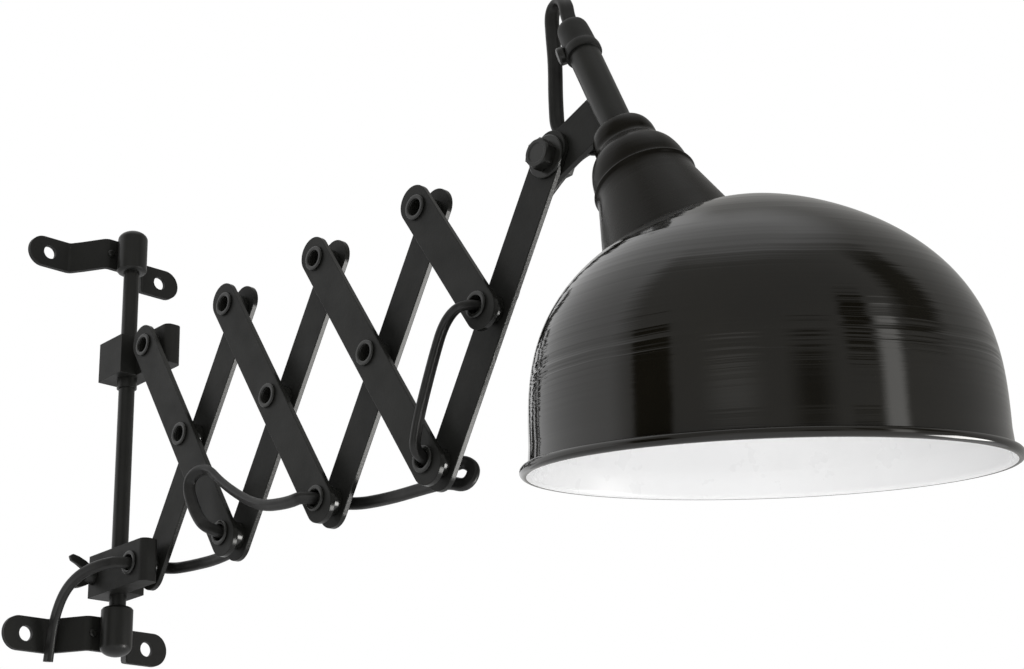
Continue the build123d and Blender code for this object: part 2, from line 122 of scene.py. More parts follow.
class Shader:
    """Small helper that adds and links the nodes of one procedural material."""

    finer_octaves: float = 0.55

    def __init__(self, name: str) -> None:
        """Start an empty node material with this name."""
        self.material = bpy.data.materials.new(name)
        self.material.use_nodes = True
        self.tree = self.material.node_tree
        self.surface = self.tree.nodes["Principled BSDF"]

    def node(self, kind: str, *terms: object, **named: object) -> bpy.types.Node:
        """Add a shader node as add_node does, its kind written without the prefix."""
        return add_node(self.tree, "ShaderNode" + kind, *terms, **named)

    def link(self, source: bpy.types.NodeSocket, name: str) -> None:
        """Join a socket to an input of the surface."""
        self.tree.links.new(source, self.surface.inputs[name])

    def place(self) -> bpy.types.NodeSocket:
        """Return the Object coordinates."""
        return self.node("TexCoord").outputs["Object"]

    def combined(self, operation: str, *terms: object) -> bpy.types.NodeSocket:
        """Return the result of a math node on numbers or sockets."""
        return self.node("Math", *terms, operation=operation).outputs["Value"]

    def grain(self, scale: float, detail: float) -> bpy.types.NodeSocket:
        """Add a noise pattern in object space.

        Args:
            scale: features per metre.
            detail: octaves.

        Returns:
            The noise factor.
        """
        place, finer = self.place(), self.finer_octaves
        return self.node("TexNoise", Vector=place, Scale=scale, Detail=detail, Roughness=finer).outputs["Fac"]

    def ranged(self, value: bpy.types.NodeSocket, low: float, high: float) -> bpy.types.NodeSocket:
        """Map a 0.3 to 0.7 noise value onto low to high."""
        spread = self.node("MapRange", Value=value, From_Min=0.3, From_Max=0.7, To_Min=low, To_Max=high)
        return spread.outputs["Result"]

    def tint(self, pattern: bpy.types.NodeSocket, dark: Colour, light: Colour) -> None:
        """Colour the surface between two tones, mixed by a noise pattern."""
        share = self.ranged(pattern, 0.0, 1.0)
        mix = self.node("Mix", data_type="RGBA", Factor=share, A=(*dark, 1.0), B=(*light, 1.0))
        self.link(mix.outputs["Result"], "Base Color")

    def relief(
        self, value: bpy.types.NodeSocket, depth: float, under: bpy.types.NodeSocket | None = None
    ) -> bpy.types.NodeSocket:
        """Turn a height pattern into a bumped normal.

        Args:
            value: height pattern from 0 to 1.
            depth: height of the pattern in metres.
            under: a normal that the bump is laid on.

        Returns:
            The bumped normal.
        """
        below = {} if under is None else {"Normal": under}
        return self.node("Bump", Height=value, Distance=depth, Strength=1.0, **below).outputs["Normal"]


@dataclass(frozen=True)
class Finish:
    """Two mottled tones, uneven roughness and a fine relief; scales are features per metre, with octaves."""

    name: str
    dark: Colour
    light: Colour
    rough_low: float
    rough_high: float
    mottle: tuple[float, float]
    wear: tuple[float, float]
    fine: float
    depth: float
    specular: float

    def roughness(self, shader: Shader) -> bpy.types.NodeSocket:
        """Return the roughness pattern."""
        return shader.ranged(shader.grain(*self.wear), self.rough_low, self.rough_high)

    def normal(self, shader: Shader) -> bpy.types.NodeSocket:
        """Return the bumped normal."""
        return shader.relief(shader.grain(self.fine, 2.0), self.depth)

    def material(self) -> bpy.types.Material:
        """Build the node material.

        Returns:
            The finished material.
        """
        shader = Shader(self.name)
        shader.tint(shader.grain(*self.mottle), self.dark, self.light)
        shader.link(self.roughness(shader), "Roughness")
        shader.link(self.normal(shader), "Normal")
        shader.surface.inputs["Specular IOR Level"].default_value = self.specular
        return shader.material


@dataclass(frozen=True)
class PowderCoat(Finish):
    """Satin black powder coat with a fine orange peel, glossier on the sheared edges of the bars."""

    name: str = "powder_coat"
    dark: Colour = (0.0062, 0.0063, 0.0056)
    light: Colour = (0.0105, 0.0106, 0.0094)
    rough_low: float = 0.44
    rough_high: float = 0.56
    mottle: tuple[float, float] = (26.0, 4.0)
    wear: tuple[float, float] = (60.0, 5.0)
    fine: float = 700.0
    depth: float = 0.00005
    specular: float = 0.22
    edge: float = 0.0005
    edge_roughness: float | None = None

    def roughness(self, shader: Shader) -> bpy.types.NodeSocket:
        """Return the roughness, smoother on thickness faces, whose normals lie across the bar."""
        flats = super().roughness(shader)
        if self.edge_roughness is None:
            return flats
        parts = shader.node("SeparateXYZ", shader.node("TexCoord").outputs["Normal"])
        share = shader.combined("ABSOLUTE", parts.outputs["X"])
        mix = shader.node("Mix", data_type="FLOAT", Factor=share, A=self.edge_roughness, B=flats)
        return mix.outputs["Result"]

    def normal(self, shader: Shader) -> bpy.types.NodeSocket:
        """Return the normal with softened edges and the orange peel."""
        round_edge = shader.node("Bevel", samples=4, Radius=self.edge)
        return shader.relief(shader.grain(self.fine, 2.0), self.depth, round_edge.outputs["Normal"])


@dataclass(frozen=True)
class SpunEnamel(Finish):
    """Gloss enamel over spun sheet: long soft waves and irregular rings, strongest in one band of the wall."""

    name: str = "dome_enamel"
    dark: Colour = (0.0028, 0.0024, 0.0015)
    light: Colour = (0.0050, 0.0043, 0.0027)
    rough_low: float = 0.0525
    rough_high: float = 0.105
    mottle: tuple[float, float] = (18.0, 3.0)
    wear: tuple[float, float] = (45.0, 4.0)
    fine: float = 160.0
    depth: float = 0.000012
    specular: float = 0.5
    origin: Vector = field(default_factory=Vector)
    up: Vector = field(default_factory=Vector)
    rings_per_metre: float = 330.0
    ring_depth: float = 0.00045
    band: float = 0.036
    band_width: float = 0.0095
    elsewhere: float = 0.26
    wander: float = 0.004

    def rings(self, shader: Shader) -> bpy.types.NodeSocket:
        """Return the pattern of irregular spinning rings, weighted towards the band."""
        along = shader.node("VectorMath", shader.place(), self.up, operation="DOT_PRODUCT")
        height = shader.combined("SUBTRACT", along.outputs["Value"], self.origin.dot(self.up))
        wandering = shader.combined("MULTIPLY_ADD", shader.grain(14.0, 2.0), self.wander, height)
        often = self.rings_per_metre
        ring = shader.node("TexNoise", noise_dimensions="1D", W=wandering, Scale=often, Detail=3.0)
        share = shader.combined("DIVIDE", shader.combined("SUBTRACT", height, self.band), self.band_width)
        fall = shader.combined("MULTIPLY", shader.combined("MULTIPLY", share, share), -1.0)
        weight = shader.combined("ADD", shader.combined("EXPONENT", fall), self.elsewhere)
        return shader.combined("MULTIPLY", ring.outputs["Fac"], weight)

    def normal(self, shader: Shader) -> bpy.types.NodeSocket:
        """Return the normal with the rings under the long waves."""
        rings = shader.relief(self.rings(shader), self.ring_depth)
        return shader.relief(shader.grain(self.fine, 2.0), self.depth, rings)


@dataclass(frozen=True)
class CordSheath(Finish):
    """Flexible black sheath, slightly chalky, with a drawn grain along its length."""

    name: str = "cord_sheath"
    dark: Colour = (0.0062, 0.0062, 0.0058)
    light: Colour = (0.0125, 0.0124, 0.0116)
    rough_low: float = 0.323
    rough_high: float = 0.475
    mottle: tuple[float, float] = (120.0, 4.0)
    wear: tuple[float, float] = (90.0, 4.0)
    fine: float = 1.0
    depth: float = 0.00005
    specular: float = 0.34
    stretch: Point = (6.0, 60.0, 1.0)

    def normal(self, shader: Shader) -> bpy.types.NodeSocket:
        """Return the normal with the grain drawn along the cord."""
        along = shader.node("UVMap", uv_map="along").outputs["UV"]
        spread = shader.node("Mapping", Vector=along, Scale=self.stretch).outputs["Vector"]
        lines = shader.node("TexNoise", Vector=spread, Scale=self.fine, Detail=2.0)
        return shader.relief(lines.outputs["Fac"], self.depth)


@dataclass(frozen=True)
class FinishBook:
    """All finishes of the lamp, each built once."""

    bar: bpy.types.Material
    strap: bpy.types.Material
    rod: bpy.types.Material
    rivet: bpy.types.Material
    fastener: bpy.types.Material
    dome: bpy.types.Material
    neck: bpy.types.Material
    inside: bpy.types.Material
    cord: bpy.types.Material
    plastic: bpy.types.Material


def finish_book(dome_centre: Vector, dome_up: Vector, neck_foot: Vector, stem_up: Vector) -> FinishBook:
    """Build every finish.

    Args:
        dome_centre: centre of the rim.
        dome_up: axis of the dome, away from the rim.
        neck_foot: point on the stem axis that its heights are counted from.
        stem_up: axis of the stem, upwards.

    Returns:
        The set of materials.
    """
    return FinishBook(
        bar=PowderCoat(edge_roughness=0.22).material(),
        strap=PowderCoat("strap_coat").material(),
        rod=PowderCoat("rod_coat", rough_low=0.3, rough_high=0.38, depth=0.00002, specular=0.3).material(),
        rivet=PowderCoat(
            "rivet_gloss", rough_low=0.14, rough_high=0.22, depth=0.00001, edge=0.0003, specular=0.45
        ).material(),
        fastener=PowderCoat(
            "blackened_steel", rough_low=0.26, rough_high=0.36, depth=0.00003, specular=0.35
        ).material(),
        dome=SpunEnamel(origin=dome_centre, up=dome_up).material(),
        neck=SpunEnamel(
            "neck_enamel",
            rough_low=0.182,
            rough_high=0.364,
            specular=0.11,
            origin=neck_foot,
            up=stem_up,
            rings_per_metre=600.0,
            ring_depth=0.00008,
        ).material(),
        inside=Finish(
            "white_enamel",
            dark=(0.864, 0.864, 0.866),
            light=(0.88, 0.88, 0.88),
            rough_low=0.255,
            rough_high=0.36,
            mottle=(22.0, 4.0),
            wear=(70.0, 3.0),
            fine=300.0,
            depth=0.00002,
            specular=0.5,
        ).material(),
        cord=CordSheath().material(),
        plastic=Finish(
            "moulded_plastic",
            dark=(0.0062, 0.0063, 0.0056),
            light=(0.0105, 0.0106, 0.0095),
            rough_low=0.4224,
            rough_high=0.552,
            mottle=(50.0, 4.0),
            wear=(80.0, 3.0),
            fine=1100.0,
            depth=0.00004,
            specular=0.25,
        ).material(),
    )


# ------------------------------------------------------------------ mesh helpers
def centre_of(node: str) -> Vector:
    """Return the middle of a CAD node's box."""
    low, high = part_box(node)
    return (low + high) / 2


def into_scene(name: str, data: bpy.types.ID | None) -> bpy.types.Object:
    """Put an object with this data at the origin of the scene."""
    thing = bpy.data.objects.new(name, data)
    bpy.context.scene.collection.objects.link(thing)
    return thing


def evaluated_mesh(thing: bpy.types.Object) -> bpy.types.Mesh:
    """Return the plain mesh that an object's modifiers or curve give."""
    bpy.context.view_layer.update()
    return bpy.data.meshes.new_from_object(thing.evaluated_get(bpy.context.evaluated_depsgraph_get()))


def new_piece(
    name: str, shape: bmesh.types.BMesh, materials: list[bpy.types.Material], crease: float = 35.0
) -> bpy.types.Object:
    """Turn a bmesh into an object at the origin with smooth shading and sharp creases.

    Args:
        name: object name.
        shape: the mesh, in the row frame.
        materials: its material slots.
        crease: angle in degrees above which an edge stays sharp.

    Returns:
        The new object.
    """
    mesh = bpy.data.meshes.new(name)
    shape.to_mesh(mesh)
    shape.free()
    for material in materials:
        mesh.materials.append(material)
    mesh.shade_smooth()
    mesh.set_sharp_from_angle(angle=math.radians(crease))
    return into_scene(name, mesh)


def stand_in(piece: bpy.types.Object, node: str, body: str) -> None:
    """Let a rigid piece stand for a CAD node.

    Args:
        piece: the visible piece.
        node: CAD node that it replaces.
        body: body that it moves with.
    """
    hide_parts(node)
    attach(piece, body)


def millimetres(points: Profile) -> Profile:
    """Turn a profile written in millimetres into metres."""
    return [(radius * MM, height * MM) for radius, height in points]


def rounded(profile: Profile, steps: int) -> Profile:
    """Draw a smooth line through the points of a profile.

    Args:
        profile: the points.
        steps: pieces per span.

    Returns:
        The finer profile.
    """
    last = len(profile) - 1
    fine: Profile = []
    for i in range(last):
        a, b, c, d = (profile[min(max(i + k, 0), last)] for k in (-1, 0, 1, 2))
        for step in range(steps):
            t = step / steps
            fine.append(
                tuple(
                    0.5
                    * (
                        2 * b[n]
                        + (c[n] - a[n]) * t
                        + (2 * a[n] - 5 * b[n] + 4 * c[n] - d[n]) * t * t
                        + (3 * b[n] - a[n] - 3 * c[n] + d[n]) * t**3
                    )
                    for n in (0, 1)
                )
            )
    fine.append(profile[-1])
    return fine


def lathe(
    profile: Profile, origin: Vector, axis: Vector, sides: int, inner: range | None = None
) -> bmesh.types.BMesh:
    """Turn a closed section round an axis.

    Args:
        profile: closed loop of (radius, height) points in metres.
        origin: point of the axis at height 0.
        axis: direction of the axis.
        sides: number of sides.
        inner: section spans that take the second material.

    Returns:
        The turned mesh.
    """
    turn = axis.normalized().to_track_quat("Z", "Y").to_matrix()
    shape = bmesh.new()
    rows = []
    angles = [math.tau * s / sides for s in range(sides)]
    for radius, height in profile:
        if radius < 0.0001 * MM:
            rows.append([shape.verts.new(origin + turn @ Vector((0.0, 0.0, height)))] * sides)
            continue
        spots = [Vector((radius * math.cos(a), radius * math.sin(a), height)) for a in angles]
        rows.append([shape.verts.new(origin + turn @ spot) for spot in spots])
    for i in range(len(rows)):
        low, high = rows[i], rows[(i + 1) % len(rows)]
        for s in range(sides):
            ring = [low[s], low[(s + 1) % sides], high[(s + 1) % sides], high[s]]
            corners = list(dict.fromkeys(ring))
            if len(corners) < 3:
                continue
            face = shape.faces.new(corners)
            if inner is not None and i in inner:
                face.material_index = 1
    bmesh.ops.recalc_face_normals(shape, faces=shape.faces)
    return shape


# ------------------------------------------------------------------ the lamp's sub-assemblies
@dataclass
class Linkage:
    """Flat bars on rolled hollow rivets, with spacers and washers between the two layers."""

    finishes: FinishBook
    bore: float = 4.5 * MM
    tube: float = 5.25 * MM
    flange: float = 7.0 * MM
    flange_height: float = 1.6 * MM
    spacer: float = 7.5 * MM
    washer: float = 9.5 * MM
    washer_height: float = 1.8 * MM
    slack: float = 0.2 * MM
    tube_stands_out: float = 0.3 * MM
    tube_corner: float = 0.1 * MM
    washer_corner: float = 0.4 * MM
    spacer_corner: float = 0.3 * MM
    flange_corner: float = 0.48
    round_steps: int = 48

    def ring_tree(self) -> bpy.types.GeometryNodeTree:
        """Build the tree that makes one rolled rivet with its spacer and washer on the X axis.

        Returns:
            The node tree, with its sizes as named inputs.
        """
        tree = bpy.data.node_groups.new("rolled_rivet", "GeometryNodeTree")
        tree.interface.new_socket("Geometry", in_out="OUTPUT", socket_type="NodeSocketGeometry")
        tree.interface.new_socket("Centre", in_out="INPUT", socket_type="NodeSocketVector")
        faces = ("Near Face", "Washer Face", "Spacer End", "Far Face")
        for name in faces:
            tree.interface.new_socket(name, in_out="INPUT", socket_type="NodeSocketFloat")
        tree.interface.new_socket("Finish", in_out="INPUT", socket_type="NodeSocketMaterial")
        given = tree.nodes.new("NodeGroupInput")
        joined = tree.nodes.new("GeometryNodeJoinGeometry")

        def add(kind: str, **named: object) -> bpy.types.Node:
            """Add a geometry node as add_node does, its kind written without the prefix."""
            return add_node(tree, "GeometryNode" + kind, **named)

        def combined(operation: str, *terms: object) -> bpy.types.NodeSocket:
            """Return the result of a math node on numbers or sockets."""
            return add_node(tree, "ShaderNodeMath", *terms, operation=operation).outputs[0]

        def ring(
            inside: float, outside: float, low: bpy.types.NodeSocket, high: bpy.types.NodeSocket, corner: float
        ) -> None:
            """Sweep a filleted box section round the axis, from low to high."""
            rail = add("CurvePrimitiveCircle", Resolution=self.round_steps, Radius=(inside + outside) / 2)
            tall = combined("SUBTRACT", high, low)
            section = add("CurvePrimitiveQuadrilateral", Width=outside - inside, Height=tall).outputs["Curve"]
            fillet = add("FilletCurve", mode="POLY", Curve=section, Count=4, Radius=corner, Limit_Radius=True)
            sweep = add("CurveToMesh", Curve=rail.outputs["Curve"], Profile_Curve=fillet.outputs["Curve"])
            middle = combined("MULTIPLY", combined("ADD", high, low), 0.5)
            along = add_node(tree, "ShaderNodeCombineXYZ", Z=middle).outputs["Vector"]
            shift = add("Transform", Geometry=sweep.outputs["Mesh"], Translation=along)
            tree.links.new(shift.outputs["Geometry"], joined.inputs["Geometry"])

        near, wash, end, far = (given.outputs[name] for name in faces)
        height, proud = self.flange_height, self.tube_stands_out
        corner = height * self.flange_corner
        wash_end = combined("ADD", wash, self.washer_height)
        ring(self.bore, self.flange, combined("ADD", near, -height), near, corner)
        ring(self.bore, self.flange, far, combined("ADD", far, height), corner)
        ring(self.bore, self.tube, combined("ADD", near, -proud), combined("ADD", far, proud), self.tube_corner)
        ring(self.tube, self.washer, wash, wash_end, self.washer_corner)
        ring(self.tube, self.spacer, wash_end, end, self.spacer_corner)
        lay = add("Transform", Geometry=joined.outputs["Geometry"], Rotation=(0.0, math.pi / 2, 0.0))
        put = add("Transform", Geometry=lay.outputs["Geometry"], Translation=given.outputs["Centre"])
        real = add("RealizeInstances", Geometry=put.outputs["Geometry"])
        coat = add("SetMaterial", Geometry=real.outputs["Geometry"], Material=given.outputs["Finish"])
        add_node(tree, "NodeGroupOutput", coat.outputs["Geometry"])
        return tree

    def rivet(self, tree: bpy.types.GeometryNodeTree, node: str, faces: tuple[float, ...]) -> None:
        """Grow one rivet in place of its CAD node.

        Args:
            tree: the rivet tree.
            node: CAD node that it stands for.
            faces: X of the near face, washer face, spacer end and far face.
        """
        place = centre_of(node)
        holder = into_scene(node + "_seed", bpy.data.meshes.new(node + "_seed"))
        grow = holder.modifiers.new("rivet", "NODES")
        grow.node_group = tree
        wanted = {
            "Centre": Vector((0.0, place.y, place.z)),
            "Near Face": faces[0],
            "Washer Face": faces[1],
            "Spacer End": faces[2],
            "Far Face": faces[3],
            "Finish": self.finishes.rivet,
        }
        for item in tree.interface.items_tree:
            if item.in_out == "INPUT":
                grow[item.identifier] = wanted[item.name]
        mesh = evaluated_mesh(holder)
        bpy.data.objects.remove(holder)
        shape = bmesh.new()
        shape.from_mesh(mesh)
        bmesh.ops.remove_doubles(shape, verts=shape.verts, dist=1e-6)
        bmesh.ops.recalc_face_normals(shape, faces=shape.faces)
        piece = new_piece(node + "_rolled", shape, [self.finishes.rivet], 40.0)
        stand_in(piece, node, frame["nodes"][node]["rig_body"])

    def dress(self) -> None:
        """Paint the bars and put a rolled rivet at every pivot."""
        bars = ["front_bar_1", "front_bar_2", "front_bar_3", "front_half_bar"]
        bars += [f"back_bar_{k}" for k in range(1, 5)]
        for name in bars:
            paint(name, self.finishes.bar)
        tree = self.ring_tree()
        front_out, front_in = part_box("front_bar_1")[0].x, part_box("front_bar_1")[1].x
        back_in, back_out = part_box("back_bar_1")[0].x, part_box("back_bar_1")[1].x
        low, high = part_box("upper_collar")[0].x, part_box("upper_collar")[1].x
        back = (back_in - self.slack, back_out + self.slack)
        for k in range(1, 4):
            for level in ("top", "low"):
                self.rivet(tree, f"{level}_pivot_{k}", (front_out, front_in, *back))
        for k in range(1, 5):
            self.rivet(tree, f"mid_pivot_{k}", (front_out, front_in, *back))
        self.rivet(tree, "top_pivot_0", (front_out, front_in, -self.slack, high + self.slack))
        self.rivet(tree, "low_pivot_0", (low, 0.0, *back))
        LOG.info("linkage: %d bars and 12 rivets", len(bars))


def paint(node: str, material: bpy.types.Material) -> None:
    """Give a CAD node its finish.

    Args:
        node: CAD node name.
        material: the finish.
    """
    piece = frame["nodes"][node]
    piece.data.materials.clear()
    piece.data.materials.append(material)


@dataclass
class WallFrame:
    """Two hat-shaped brackets, the guide rod, its end caps and the two sliding collars."""

    finishes: FinishBook
    cap_radius: float = 9.5 * MM
    cap_length: float = 29.0 * MM
    cap_dome: float = 6.0 * MM
    cap_top: float = 3.0 * MM
    rod_radius: float = 5.0 * MM
    wing_bevel: float = 0.7 * MM

    def cap(self, node: str, up: float) -> None:
        """Turn one end cap with a soft domed end.

        Args:
            node: CAD node that it stands for.
            up: 1 for the upper cap and -1 for the lower one.
        """
        r, half = self.cap_radius, self.cap_length / 2
        section = [
            (self.rod_radius, -half),
            (r - 2.0 * MM, -half),
            (r - 0.9 * MM, -half + 0.5 * MM),
            (r, -half + 1.6 * MM),
            (r, half - self.cap_dome),
        ]
        for k in range(1, 12):
            angle = math.pi / 2 * k / 12
            section.append((r * math.cos(angle), half - self.cap_dome + self.cap_dome * math.sin(angle)))
        section += [(0.0, half), (0.0, half - self.cap_top), (self.rod_radius, half - self.cap_top)]
        shape = lathe(section, centre_of(node), Vector((0.0, 0.0, up)), 64)
        piece = new_piece(node + "_turned", shape, [self.finishes.rod], 30.0)
        stand_in(piece, node, "wall_frame")

    def wing_screw(self) -> None:
        """Make the wing screw on the lower collar: a tapered hub with two flared wings."""
        low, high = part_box("wing_screw")
        y, z = (low.y + high.y) / 2, centre_of("lower_collar").z
        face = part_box("lower_collar")[0].x
        hub = [(0.0, 0.0), (5.3, 0.0), (5.5, 0.5), (5.0, 4.8), (4.2, 6.4), (3.0, 7.0), (0.0, 7.2)]
        shape = lathe(millimetres(hub), Vector((face, y, z)), Vector((-1.0, 0.0, 0.0)), 40)
        root, root_half_thick, thinning = -13.0, 1.9, 0.045
        outline = [(root, 1.6), (-13.2, 5.4), (-17.0, 8.0), (-22.0, 10.2), (-26.0, 11.2), (-28.2, 9.8)]
        outline += [(-27.2, 7.2), (-23.5, 5.6), (-19.5, 3.4), (-17.5, 1.6)]
        for sign, size in ((1.0, 1.0), (-1.0, 0.8)):
            front, back = [], []
            for x, rise in outline:
                far = (x - root) * size + root
                thin = root_half_thick - thinning * (root - far)
                front.append(shape.verts.new((far * MM, y - thin * MM, z + sign * rise * size * MM)))
                back.append(shape.verts.new((far * MM, y + thin * MM, z + sign * rise * size * MM)))
            for i in range(len(front)):
                j = (i + 1) % len(front)
                shape.faces.new((front[i], front[j], back[j], back[i]))
            shape.faces.new(front)
            shape.faces.new(list(reversed(back)))
        bmesh.ops.recalc_face_normals(shape, faces=shape.faces)
        piece = new_piece("wing_screw_cast", shape, [self.finishes.fastener], 40.0)
        soften = piece.modifiers.new("soften", "BEVEL")
        soften.width = self.wing_bevel
        soften.segments = 3
        soften.limit_method = "ANGLE"
        soften.harden_normals = True
        stand_in(piece, "wing_screw", "lower_carriage")

    def dress(self) -> None:
        """Paint the wall side and turn the caps."""
        for name in ("top_bracket", "bottom_bracket", "upper_collar", "lower_collar"):
            paint(name, self.finishes.strap)
        for name in ("guide_rod", "collar_bush"):
            paint(name, self.finishes.rod)
        for name in ("top_strap_screw", "bottom_strap_screw"):
            paint(name, self.finishes.fastener)
        self.cap("top_rod_cap", 1.0)
        self.cap("bottom_rod_cap", -1.0)
        self.wing_screw()
        LOG.info("wall frame: brackets, rod, caps, collars and wing screw")


@dataclass
class Head:
    """Stem, cord grip, stepped neck cover and the deep spun dome."""

    finishes: FinishBook
    rim: Vector
    up: Vector
    foot: Vector
    stem_up: Vector
    body: float = 99.9 * MM
    height: float = 117.8 * MM
    lip: float = 10.4 * MM
    sheet: float = 1.5 * MM
    bead: float = 2.2 * MM
    rim_radius: float = 102.0 * MM
    power: float = 2.93
    taper: float = 1.51
    gap: float = 2.5 * MM
    tab_width: float = 11.0 * MM
    tab_angle: float = 207.0
    tab_radius: float = 33.0 * MM
    wide_gap_angle: float = 150.0
    narrow_share: float = 0.25
    skirt_top: float = 58.4 * MM
    skirt_radius: float = 24.6 * MM
    skirt_slope: float = 0.27
    skirt_length: float = 42.0 * MM
    grip_bore: float = 3.7 * MM
    hexagon: float = 8.2
    hexagon_turn: float = 20.0

    def wall(self, drop: float, rows: int) -> Profile:
        """Points of the dome wall from the lip to the crown, moved inwards by drop.

        Args:
            drop: distance inside the outer wall.
            rows: number of spans.

        Returns:
            The (radius, height) points.
        """
        points: Profile = []
        scale = (self.body - drop) / self.body
        rise = (self.height - drop - self.lip) / (self.height - self.lip)
        for i in range(rows + 1):
            share = math.sin(math.pi / 2 * i / rows)
            radius = self.body * max(1.0 - share**self.power, 0.0) ** (1.0 / self.taper) * scale
            points.append((radius if i < rows else 0.0, self.lip + (self.height - self.lip) * share * rise))
        return points

    def shade(self) -> None:
        """Spin the dome with its rolled rim, black outside and white inside."""
        outer = self.wall(0.0, 72)
        inner = self.wall(self.sheet, 72)
        turns = (math.radians(degrees) for degrees in range(130, -175, -20))
        bead = [(self.rim_radius + self.bead * math.cos(a), self.bead * math.sin(a)) for a in turns]
        low_in = (self.body - 1.1 * MM, self.lip - 4.0 * MM)
        low_out = (self.body + 0.35 * MM, self.lip - 4.5 * MM)
        flare_in = rounded([(self.body - self.sheet, self.lip), low_in, bead[-1]], 6)
        flare_out = rounded([bead[0], low_out, (self.body, self.lip)], 6)
        section = outer[:-1] + [(0.0, self.height), (0.0, self.height - self.sheet)] + inner[::-1][1:]
        inner_start = len(outer)
        section += flare_in[1:-1]
        inner_end = len(section)
        section += bead[::-1]
        section += flare_out[1:-1]
        shape = lathe(section, self.rim, self.up, 192, range(inner_start, inner_end + 3))
        piece = new_piece("dome_shade", shape, [self.finishes.dome, self.finishes.inside], 60.0)
        stand_in(piece, "shade", "head")

    def inside_dome(self, point: Vector, grow: float) -> bool:
        """Say whether a point lies inside the dome's outer form grown outwards.

        Args:
            point: the point.
            grow: distance by which the form is grown.

        Returns:
            True inside it.
        """
        away = point - self.rim
        rise = away.dot(self.up)
        if not 0.0 <= rise < self.height + grow:
            return False
        share = max((rise - self.lip) / (self.height + grow - self.lip), 0.0)
        radius = (self.body + grow) * (1.0 - share**self.power) ** (1.0 / self.taper)
        return (away - self.up * rise).length < radius

    def skirt_wall(self, depth: float) -> float:
        """Return the outer radius of the skirt at a depth below the foot of the stem."""
        return self.skirt_radius + self.skirt_slope * (depth - self.skirt_top)

    def skirt_end(self, outward: Vector, grow: float) -> float:
        """Find how far down the skirt reaches before it meets the grown dome.

        Args:
            outward: direction from the stem axis.
            grow: gap that is kept to the dome.

        Returns:
            The depth below the foot of the stem.
        """
        near, far = self.skirt_top, self.skirt_top + 60.0 * MM
        for _ in range(24):
            middle = (near + far) / 2
            point = self.foot - self.stem_up * middle + outward * self.skirt_wall(middle)
            if self.inside_dome(point, grow):
                far = middle
            else:
                near = middle
        return near

    def gap_towards(self, outward: Vector) -> float:
        """Say how much light shows between skirt and dome on one side.

        Args:
            outward: direction from the stem axis.

        Returns:
            The gap, next to nothing where a tab stands on the dome.
        """
        across = self.stem_up.cross(Vector((1.0, 0.0, 0.0)))
        angle = math.degrees(math.atan2(outward.dot(across), outward.x))
        aside = abs((angle - self.tab_angle + 60.0) % 120.0 - 60.0)
        if math.radians(aside) * self.tab_radius < self.tab_width / 2:
            return 0.05 * MM
        widening = max(math.cos(math.radians(angle - self.wide_gap_angle)), 0.0)
        return self.gap * (self.narrow_share + (1.0 - self.narrow_share) * widening)

    def neck(self) -> None:
        """Spin the stepped neck cover; its skirt follows the dome and stands on it with three tabs."""
        outside = [(8.1, -15.9), (11.0, -16.6), (13.8, -18.8), (15.2, -22.2), (15.6, -26.0), (15.4, -29.0)]
        outside += [(16.0, -31.2), (18.2, -34.2), (20.8, -38.0), (22.4, -42.6), (23.2, -47.2), (23.5, -51.6)]
        outside += [(24.5, -52.5), (24.9, -53.3), (24.6, -54.2), (24.2, -55.2), (24.4, -57.2)]
        skirt = [
            (self.skirt_wall(depth) / MM, -depth / MM)
            for depth in (self.skirt_top + self.skirt_length * k / 7 for k in range(8))
        ]
        lining = [(radius - 1.4, height) for radius, height in skirt[::-1]]
        inside = [(22.9, -57.0), (21.7, -47.0), (20.6, -41.6), (18.2, -36.8), (14.6, -33.0)]
        inside += [(13.0, -29.6), (13.8, -25.0), (12.6, -20.6), (10.6, -18.4), (8.1, -17.8)]
        loop = rounded(outside, 5) + skirt + lining + rounded(inside, 3)
        shape = lathe(millimetres(loop), self.foot, self.stem_up, 240)
        for vertex in shape.verts:
            away = vertex.co - self.foot
            depth = -away.dot(self.stem_up)
            if depth <= self.skirt_top + 0.01 * MM:
                continue
            flat = away + self.stem_up * depth
            outward = flat.normalized()
            end = self.skirt_end(outward, self.gap_towards(outward))
            share = (depth - self.skirt_top) / self.skirt_length
            wall = flat.length - self.skirt_wall(depth)
            lowered = self.skirt_top + (end - self.skirt_top) * share
            vertex.co = self.foot - self.stem_up * lowered + outward * (self.skirt_wall(lowered) + wall)
        bmesh.ops.recalc_face_normals(shape, faces=shape.faces)
        piece = new_piece("neck_spun", shape, [self.finishes.neck], 50.0)
        stand_in(piece, "neck_cover", "head")

    def thumb_screw(self) -> None:
        """Turn the low round knob that clamps the cord grip, beside its lower edge."""
        away = centre_of("grip_screw") - self.foot
        rise = away.dot(self.stem_up)
        outward = (away - self.stem_up * rise).normalized()
        knob = [(0.0, 0.0), (4.4, 0.0), (4.7, 0.4), (4.7, 2.6), (4.2, 3.4), (2.8, 3.8), (0.0, 3.9)]
        start = self.foot + self.stem_up * (rise + 2.6 * MM) + outward * 8.9 * MM
        shape = lathe(millimetres(knob), start, outward, 40)
        piece = new_piece("grip_screw_turned", shape, [self.finishes.fastener], 30.0)
        stand_in(piece, "grip_screw", "head")

